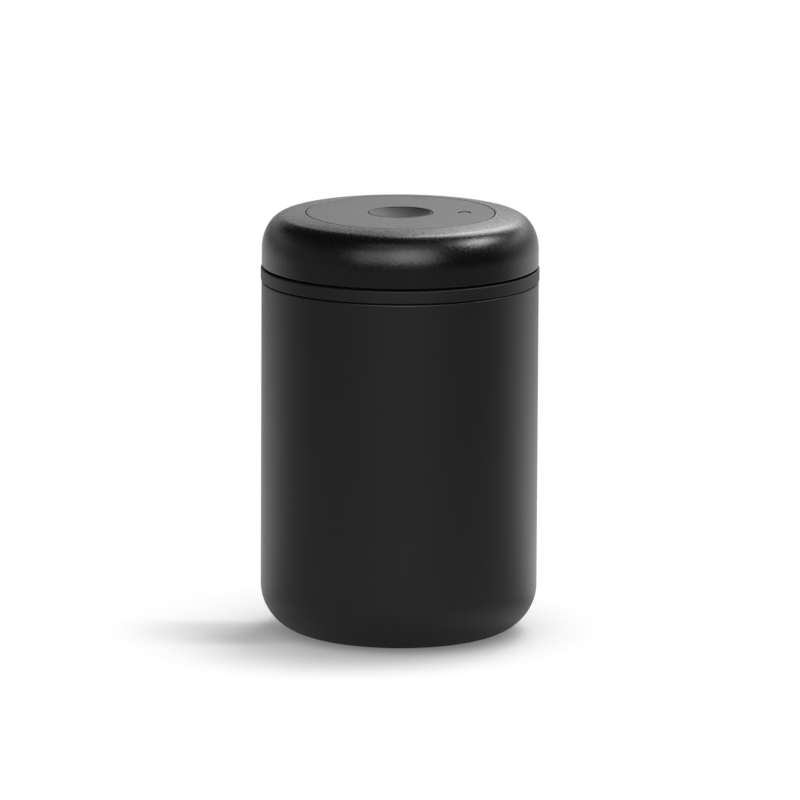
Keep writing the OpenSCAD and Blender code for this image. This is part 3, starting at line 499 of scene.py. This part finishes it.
# %% [markdown]
# ## The twist cap
#
# The cap is the part that the eye goes to: an elliptic shoulder, 10.5 mm wide and 14.8 mm high, runs into a crown
# that still rises a little where it stops at a ring seam. A small radius breaks its edge at the seam. The underside is
# moulded too, with a ledge inside that hangs on the tower and bosses for the screws.

# %% Cap
CAP_R, CAP_Z, TOP, CAP_WALL = 59.85, 160.8, 183.6, 2.4
SEAM_R, LEDGE_Z, LEDGE_TOP, LEDGE_IN = 41.1, 179.5, 181.2, 37.9
WIDE, HIGH, MID_R, MID_Z = 10.5, 14.8, 49.35, 167.76
CROWN_LOW = 9.1
bend = math.degrees(math.atan2(HIGH, WIDE * math.tan(math.radians(CROWN_LOW))))
outer_arc = arc(MID_R, MID_Z, WIDE, 0, bend, 56, HIGH)
inner_arc = arc(MID_R, MID_Z, WIDE - CAP_WALL, bend, 0, 30, HIGH - CAP_WALL)
edge_r, edge_z = outer_arc[-1]
CROWN_HIGH = 2 * math.degrees(math.atan2(TOP - edge_z, edge_r - SEAM_R)) - CROWN_LOW
crown_radius = (edge_r - SEAM_R) / (math.sin(math.radians(CROWN_LOW)) - math.sin(math.radians(CROWN_HIGH)))
crown = arc(edge_r - crown_radius * math.sin(math.radians(CROWN_LOW)),
            edge_z - crown_radius * math.cos(math.radians(CROWN_LOW)),
            crown_radius, 90 - CROWN_LOW, 90 - CROWN_HIGH, 24)
print("the crown falls from", round(CROWN_HIGH, 2), "to", CROWN_LOW, "degrees")
cap_outer = np.vstack([
    outline([(CAP_R - CAP_WALL, CAP_Z, 0.2), (CAP_R, CAP_Z, 0.5), (CAP_R, MID_Z)], steps=6)[1:],
    outer_arc[1:], crown[1:-2],
    outline([tuple(crown[-2]), (SEAM_R, TOP, 0.22), (SEAM_R, LEDGE_TOP, 0.1), (LEDGE_IN, LEDGE_TOP, 0.15),
             (LEDGE_IN, LEDGE_Z, 0.15), (SEAM_R + 1.6, LEDGE_Z, 0.1), (SEAM_R + 1.6, TOP - CAP_WALL - 0.2, 0.1),
             tuple(inner_arc[0])], steps=5)[1:]])
cap_bosses = [boss(2.9, 176.5, 180.6, 48.3, 60 * k, 1.25) for k in range(6)]
cap_points, cap_faces = joined(turned(np.vstack([cap_outer, inner_arc[1:]]), True, 320), *cap_bosses)
dress(make_mesh("twist_cap_dome", cap_points, cap_faces), "cap_plastic", "cap", "twist_cap")


# %% [markdown]
# ## The top plate
#
# The round plate has two holes, one in the middle for the button and one off to the side for the seal indicator.
# A turned surface can hold the first but not the second. So the plate is turned with a window left in it, and the
# window is filled by a grid that blends from the window's edge to the round hole: point (k, s) is
# (1 - s) * edge(k) + s * hole(k). The same grid then runs down the hole's wall and back out on the underside.

# %% Top plate grid
PLATE_R, PLATE_Z, HOLE_R, PIN_X, PIN_HOLE = 40.7, 181.5, 14.05, 27.6, 2.9
EDGE = 0.22
face_r = np.r_[HOLE_R + EDGE + 0.25, np.linspace(15.6, 39.6, 21), PLATE_R - EDGE - 0.25]
top_row = np.stack([face_r[::-1], np.full(face_r.size, TOP)], 1)
under_row = np.stack([face_r, np.full(face_r.size, PLATE_Z)], 1)
rim = outline([(face_r[-1], PLATE_Z), (PLATE_R, PLATE_Z, 0.15), (PLATE_R, TOP, EDGE), (face_r[-1], TOP)], steps=5)
bore = outline([(face_r[0], TOP), (HOLE_R, TOP, EDGE), (HOLE_R, PLATE_Z, 0.15), (face_r[0], PLATE_Z)], steps=5)
plate_profile = np.vstack([rim, top_row[1:], bore[1:], under_row[1:-1]])
SEG = 360
plate_points, plate_faces, _ = turned(plate_profile, True, SEG)
window_cols, window = 13, (20.4, 34.8)
r_all = plate_profile[:, 0]
flat = (r_all >= window[0] - 1e-6) & (r_all <= window[1] + 1e-6)
top_rows = np.flatnonzero(flat & (plate_profile[:, 1] == TOP))
under_rows = np.flatnonzero(flat & (plate_profile[:, 1] == PLATE_Z))
cols = np.arange(-window_cols, window_cols + 1)


# %% Window fill
def window_loop(rows):
    """Indices round the window, from its outer row's first column, across, in, back and out."""
    grid = rows[:, None] * SEG + cols[None, :] % SEG
    return np.concatenate([grid[0], grid[1:, -1], grid[-1, -2::-1], grid[-2:0:-1, 0]])


row_of = np.array([f[0] // SEG for f in plate_faces])
col_of = np.array([f[0] % SEG for f in plate_faces])
col_in = ((col_of + window_cols) % SEG) < 2 * window_cols
in_top = (row_of >= top_rows[0]) & (row_of < top_rows[-1])
in_under = (row_of >= under_rows[0]) & (row_of < under_rows[-1])
plate_faces = [f for f, cut in zip(plate_faces, col_in & (in_top | in_under)) if not cut]
loop_top = window_loop(top_rows)
loop_under = window_loop(under_rows[::-1])
edge_top, edge_under = plate_points[loop_top], plate_points[loop_under]
beta = np.arctan2(edge_top[:, 1], edge_top[:, 0] - PIN_X)
wall = outline([(PIN_HOLE + EDGE + 0.5, TOP), (PIN_HOLE, TOP, EDGE), (PIN_HOLE, PLATE_Z, 0.15),
                (PIN_HOLE + EDGE + 0.5, PLATE_Z)], steps=5)
tube = np.stack([PIN_X + wall[:, :1] * np.cos(beta), wall[:, :1] * np.sin(beta),
                 wall[:, 1:] + 0 * beta], 2)
share = np.linspace(0, 1, 7)[1:-1, None, None]
fill = np.concatenate([edge_top[None] * (1 - share) + tube[:1] * share, tube,
                       tube[-1:] * share + edge_under[None] * (1 - share)])
first = len(plate_points)
index = np.vstack([loop_top, first + np.arange(fill.shape[0] * fill.shape[1]).reshape(fill.shape[:2]), loop_under])
low, high = index[:-1], index[1:]
skin = np.stack([low, np.roll(low, -1, 1), np.roll(high, -1, 1), high], 2).reshape(-1, 4)
plate_points = np.vstack([plate_points, fill.reshape(-1, 3)])
plate_faces = plate_faces + skin.tolist()
collar = turned(outline([(HOLE_R + 0.05, 175.5, 0.2), (HOLE_R + 1.5, 175.5, 0.2), (HOLE_R + 1.5, 181.7),
                         (HOLE_R + 0.05, 181.7)], closed=True, steps=3), True, 144)
spigot = turned(outline([(33.5, 175.0, 0.2), (35.2, 175.0, 0.2), (35.2, 181.7), (33.5, 181.7)], closed=True,
                        steps=3), True, 144)
legs = [block(1.6, 6.0, 11.0, 30 + 120 * k, 31.9, 171.1) for k in range(3)]
hooks = [block(2.5, 6.0, 1.1, 30 + 120 * k, 31.9, 171.1) for k in range(3)]
plate_points, plate_faces = joined((plate_points, plate_faces), collar, spigot, *legs, *hooks)
dress(make_mesh("top_plate_disc", plate_points, plate_faces), "top_plastic", "lid", "top_plate")


# %% [markdown]
# ## The release button
#
# The button is a hollow for a fingertip, 2.8 mm deep: a lip of 0.2 mm, and under it a piece of a sphere with
# R = (r * r + depth * depth) / (2 * depth). From the camera only its far half is seen, steep and dark at the back and
# level in the middle. The lip is polished by use and draws a thin pale line.

# %% Button
BUTTON_R, DISH_R, DISH, LIP = 13.6, 13.25, 2.8, 0.2
UNDER_Z, ROOF_Z = TOP - DISH - 1.8, TOP - DISH - 1.5
sphere = (DISH_R ** 2 + (DISH - LIP) ** 2) / (2 * (DISH - LIP))
rise = math.degrees(math.asin(DISH_R / sphere))
dish = arc(0, TOP - DISH + sphere, sphere, rise - 90, -90, 48)
button_profile = np.vstack([
    outline([(0, ROOF_Z), (3.25, ROOF_Z, 0.1), (3.25, 170.5, 0.2), (4.5, 170.5, 0.3), (4.5, UNDER_Z, 0.4),
             (12.2, UNDER_Z, 0.2), (12.2, 178.5, 0.2), (BUTTON_R, 178.5, 0.3), (BUTTON_R, TOP, 0.12),
             (DISH_R + 0.05, TOP, 0.1), (DISH_R, TOP - LIP, 0.05), tuple(dish[2])], steps=6),
    dish[3:]])
dress(make_mesh("release_button_dish", *turned(button_profile)[:2]), "button_plastic", "release",
      "release_button")


# %% [markdown]
# ## The seal indicator
#
# A small pin stands level with the plate while the jar holds air. When the air is out, it is drawn down, and the
# empty hole shows it. Its tip is slightly domed, and 0.15 mm slimmer than the pin all round, so a dark ring shows.

# %% Indicator pin
DOME, PIN_TOP, TIP_R, PIN_R = 30.0, 183.46, 2.35, 2.5
SLEEVE_R, SLEEVE_Z, SEAL_R = 5.6, 169.8, 4.8
tip = arc(0, PIN_TOP - DOME, DOME, 90 - math.degrees(math.asin((TIP_R - 0.25) / DOME)), 90, 10)
pin_profile = np.vstack([
    outline([(0, SLEEVE_Z), (SLEEVE_R, SLEEVE_Z, 0.2), (SLEEVE_R, 170.4, 0.1), (SEAL_R, 170.4, 0.1),
             (SEAL_R, 171.6, 0.1), (SLEEVE_R, 171.6, 0.1), (SLEEVE_R, 172.2, 0.2), (PIN_R, 172.2, 0.2),
             (PIN_R, 181.5), (TIP_R, 181.6), (TIP_R, 183.37, 0.2), tuple(tip[0])], steps=4),
    tip[1:]])
pin_points, pin_faces, _ = turned(pin_profile, segments=96, centre=(PIN_X, 0.0))
dress(make_mesh("indicator_tip", pin_points, pin_faces), "indicator_plastic", "indicator", "indicator_pin")


# %% [markdown]
# ## The springs
#
# A spring is a round wire on a helix: the point (a, b) lies at radius R + w cos(b) and height z(a) + w sin(b), turned
# by a about the axis. The end turns lie flat and the ones between rise evenly.

# %% Springs
def coil(node, wire, turns, sides=12, steps=48, flat=0.7):
    """A wire of radius wire, wound turns times, that fills the box of a frame node. Both ends are closed."""
    low, high = (np.array(corner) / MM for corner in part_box(node))
    mid, radius = (low + high) / 2, (high[0] - low[0]) / 2 - wire
    turn = np.linspace(0, turns, turns * steps + 1)[:, None]
    rise = np.clip((turn - flat) / (turns - 2 * flat), 0, 1) * (high[2] - low[2] - 2 * wire)
    a, b = 2 * np.pi * turn, 2 * np.pi * np.arange(sides) / sides
    out, up = radius + wire * np.cos(b), low[2] + wire + rise + wire * np.sin(b)
    ring = np.stack([mid[0] + out * np.cos(a), mid[1] + out * np.sin(a), up], 2)
    ends = ring[[0, -1]].mean(1)
    index = np.arange(ring.shape[0] * sides).reshape(-1, sides)
    skin = np.stack([index[:-1], index[1:], np.roll(index[1:], -1, 1), np.roll(index[:-1], -1, 1)], 2).reshape(-1, 4)
    tips = [np.stack([np.full(sides, index.size + k), *pair], 1)
            for k, pair in enumerate([(index[0], np.roll(index[0], -1)), (np.roll(index[-1], -1), index[-1])])]
    return np.vstack([ring.reshape(-1, 3), ends]), skin.tolist() + tips[0].tolist() + tips[1].tolist()


for name, node, wire, turns, joint, travel in (
        ("release_coil", "release_spring", 0.5, 8, "release_press", 3.0),
        ("indicator_coil", "indicator_spring", 0.35, 5, "indicator_drop", 2.5)):
    spring = dress(make_mesh(name, *coil(node, wire, turns)), "spring_steel", "lid", node)
    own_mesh(spring)


# %% [markdown]
# ## The works inside
#
# The cam ring, tower, piston, valves and screws keep their shapes from the frame, since their flats and bores are
# exact there. Each gets the finish that its slot names.

# %% Inner pieces
inner = {
    "bottom_cover": "band_plastic", "cover_screws": "screw_steel", "filter_mesh": "mesh_steel",
    "inlet_valve": "valve_silicone", "pump_cylinder": "inner_plastic", "cylinder_seal": "seal_rubber",
    "guide_tower": "inner_plastic", "tower_screws": "screw_steel", "glide_ring": "bearing_plastic",
    "cam_ring": "inner_plastic", "cap_screws": "screw_steel", "piston": "inner_plastic",
    "piston_outer_seal": "black_rubber", "piston_inner_seal": "black_rubber", "exhaust_valve": "valve_silicone",
    "drive_pins": "pin_steel", "release_stem": "pin_steel", "release_seal": "valve_silicone",
    "stem_clip": "spring_steel", "indicator_housing": "inner_plastic", "indicator_seal": "black_rubber",
}
for name, slot in inner.items():
    nodes[name].data.materials.clear()
    nodes[name].data.materials.append(finishes[slot])
print(len(inner), "inner pieces dressed")


# %% [markdown]
# ## Floor, light and camera
#
# The scene is a product shot on white. A large soft light behind and to the right draws the pale edge of the
# shoulder, one high on the right draws the second spot under it, and three in front draw the broad patch in the middle
# of the cap. A soft light from behind makes the shadow on the floor and shows in no surface. The floor keeps that
# shadow and fades to pure white away from the jar, sooner on the right, which paints the shadow out there. On the
# left its tone is painted: a little lighter, with a darker tongue of painted shadow. The floor's reflection in the jar
# is painted apart from its own tone: bright behind, which lights the two edges, grey in front, and darker close to the
# jar, a painted shade. The world is a backdrop: bright and low behind, with a dim wall on the left. The camera stands
# far off with a long lens, 11 degrees above level.

# %% Floor
FLOOR_HALF, FLOOR_Z, FLOOR_LINES = 3000.0, -0.02, 31
# The last number sets where the band of painted shadow on the floor lies: 12 mm in front of the axis.
FADE_FROM, FADE_TO, PAINTED_SHADOW_AT = 0.068, 0.122, 0.012


def stage_floor():
    n = FLOOR_LINES
    line = np.linspace(-FLOOR_HALF, FLOOR_HALF, n)
    x, y = np.meshgrid(line, line, indexing="ij")
    points = np.stack([x.ravel(), y.ravel(), np.full(x.size, FLOOR_Z)], 1)
    i = np.arange((n - 1) * n).reshape(n - 1, n)[:, :-1].ravel()
    floor = make_mesh("studio_floor", points, np.stack([i, i + n, i + n + 1, i + 1], 1).tolist())
    f = Finish("pale_floor", Roughness=0.9, Specular_IOR_Level=0.1)
    f.feed("Base Color", (0.82, 0.82, 0.82))
    path = f.add("ShaderNodeLightPath", out="Is Camera Ray")
    gloss = Term(f, path.socket.node.outputs["Is Glossy Ray"])
    clear = Term(f, path.socket.node.outputs["Is Transmission Ray"])
    x = f.add("ShaderNodeSeparateXYZ", {}, {0: f.place()}, "X")
    y = f.add("ShaderNodeSeparateXYZ", {}, {0: f.place()}, "Y")
    behind = (y / f.radius()).step(0.0, 0.6)
    # The fade to white leans with x for camera rays: it starts sooner on the right, which paints out the shadow there,
    # and later on the left.
    lean = x.step(-0.12, 0.08) * 0.035 - 0.008
    far = (f.radius() + (path + clear) * lean).step(FADE_FROM, FADE_TO)
    distant = f.radius().step(0.2, 0.8)
    farther = f.radius().step(0.60, 0.95)
    side = x / f.radius()
    # Painted reflection: glossy rays see the floor as emission that is bright behind, fading with distance and brighter
    # to the right, and grey in front. There, painted shade darkens it close to the jar.
    shade = f.radius().step(0.05, 0.14) * 0.5 + 0.5
    mirrored = behind * (1.46 - distant * 0.40 - farther * 0.26) * (1.0 + side * 0.2)
    mirrored = mirrored + (1 - behind) * (0.49 - distant * 0.22) * shade
    white = f.add("ShaderNodeEmission", {}, {"Color": (1.0, 1.0, 1.0), "Strength": path + clear + gloss * mirrored})
    # Painted shadow: on the left, the floor's lift emission is raised a little, and lowered in a band 12 mm in front of
    # the axis, a tongue of painted shadow.
    across = y + PAINTED_SHADOW_AT
    painted_shadow_tongue = 1 - (across * across).step(0.00002, 0.00090)
    lift_with_painted_shadow = 0.17 + (x * -1).step(0.03, 0.08) * (0.08 - painted_shadow_tongue * 0.22)
    lift = f.add("ShaderNodeEmission", {}, {
        "Color": (1.0, 1.0, 1.0), "Strength": (path + clear) * lift_with_painted_shadow + gloss * 0.04})
    near = f.add("ShaderNodeAddShader", {}, {0: Term(f, f.shader.outputs[0]), 1: lift})
    shown = f.add("ShaderNodeMixShader", {}, {0: far, 1: near, 2: white})
    seen = f.add("ShaderNodeMixShader", {}, {0: path + clear + gloss, 1: Term(f, f.shader.outputs[0]),
                                             2: shown})
    back = f.add("ShaderNodeNewGeometry", out="Backfacing")
    open_side = f.add("ShaderNodeBsdfTransparent")
    final = f.add("ShaderNodeMixShader", {}, {0: back, 1: seen, 2: open_side})
    out = next(n for n in f.tree.nodes if n.type == "OUTPUT_MATERIAL")
    f.link(final, out.inputs["Surface"])
    floor.data.materials.append(f.material)


stage_floor()


# %% World
def studio_world():
    world = bpy.data.worlds.new("white_studio")
    world.use_nodes = True
    bpy.context.scene.world = world
    tree = world.node_tree
    tree.nodes.clear()
    f = Finish.__new__(Finish)
    f.tree = tree
    path = f.add("ShaderNodeLightPath", out="Is Camera Ray")
    gloss = Term(f, path.socket.node.outputs["Is Glossy Ray"])
    clear = Term(f, path.socket.node.outputs["Is Transmission Ray"])
    way = f.add("ShaderNodeTexCoord", out="Generated")
    x = f.add("ShaderNodeSeparateXYZ", {}, {0: way}, "X")
    y = f.add("ShaderNodeSeparateXYZ", {}, {0: way}, "Y")
    z = f.add("ShaderNodeSeparateXYZ", {}, {0: way}, "Z")
    behind = (y + x * 0.1).step(0.0, 0.85)
    left = (x * -1).step(0.0, 0.50)
    lean = (0.2 - x).step(0.0, 0.4)
    low = (0.60 + z.step(0.17, 0.33) * 1.70) * (1 - (z + lean * 0.10).step(0.36, 0.44)) * (1 - left * 0.45)
    # Inside the jar a glossy ray bounces often, and every bounce after the first sees a brighter world.
    deep = Term(f, path.socket.node.outputs["Ray Depth"]).step(2.2, 2.8)
    wall = (x * -1).step(0.55, 0.85) * (1 - z.step(0.30, 0.60) * 0.8)
    mirrored = behind * low + wall * 0.22 + 0.02 + deep * 0.5
    strength = path + clear + gloss * mirrored + (1 - path - clear - gloss) * 0.58
    shade = f.add("ShaderNodeBackground", {}, {"Color": (1.0, 1.0, 1.0), "Strength": strength})
    out = tree.nodes.new("ShaderNodeOutputWorld")
    f.link(shade, out.inputs["Surface"])


studio_world()


# %% Soft lights
def softbox(name, at, aim, width, height, watts):
    """A rectangular lamp at a point, turned to face another, both in mm. The camera doesn't see it."""
    lamp = bpy.data.lights.new(name, "AREA")
    lamp.shape, lamp.size, lamp.size_y, lamp.energy = "RECTANGLE", width * MM, height * MM, watts
    box = bpy.data.objects.new(name, lamp)
    bpy.context.scene.collection.objects.link(box)
    at, aim = Vector(at) * MM, Vector(aim) * MM
    box.location = at
    box.rotation_euler = (aim - at).to_track_quat("-Z", "Y").to_euler()
    box.visible_camera = False
    return box


for name, at, aim_z, width, height, watts, hidden_from in (
        ("key_right", (1020, 71, 1247), 150, 600, 440, 12.0, "visible_diffuse"),
        ("back_strip", (369, 1070, 1134), 180, 660, 760, 9.8, "visible_camera"),
        ("front_near_axis", (267, -1258, 943), 170, 760, 1000, 9.4, "visible_diffuse"),
        ("front_left", (-385, -1268, 874), 170, 1100, 820, 6.2, "visible_diffuse"),
        ("front_high", (0, -681, 1507), 170, 1000, 350, 1.4, "visible_diffuse"),
        ("shadow_light", (640, 720, 1150), 0, 800, 800, 3.6, "visible_glossy")):
    setattr(softbox(name, at, (0, 0, aim_z), width, height, watts), hidden_from, False)


# %% Camera
CAMERA_AT, DOWN, LEAN = (0.00021, -4.5, 0.9868), 11.137, 0.0050
SENSOR_MM, LENS_MM = 36.0, 476.3
camera_data = bpy.data.cameras.new("camera")
camera_data.sensor_width, camera_data.lens = SENSOR_MM, LENS_MM
camera_data.clip_start, camera_data.clip_end = 0.1, 60.0
camera = bpy.data.objects.new("camera", camera_data)
bpy.context.scene.collection.objects.link(camera)
camera.matrix_world = (Matrix.Translation(CAMERA_AT) @ Matrix.Rotation(math.radians(90 - DOWN), 4, "X")
                       @ Matrix.Rotation(LEAN, 4, "Z"))
bpy.context.scene.camera = camera
bpy.context.scene.view_settings.view_transform = "Standard"
print("camera at", [round(v, 3) for v in camera.location])
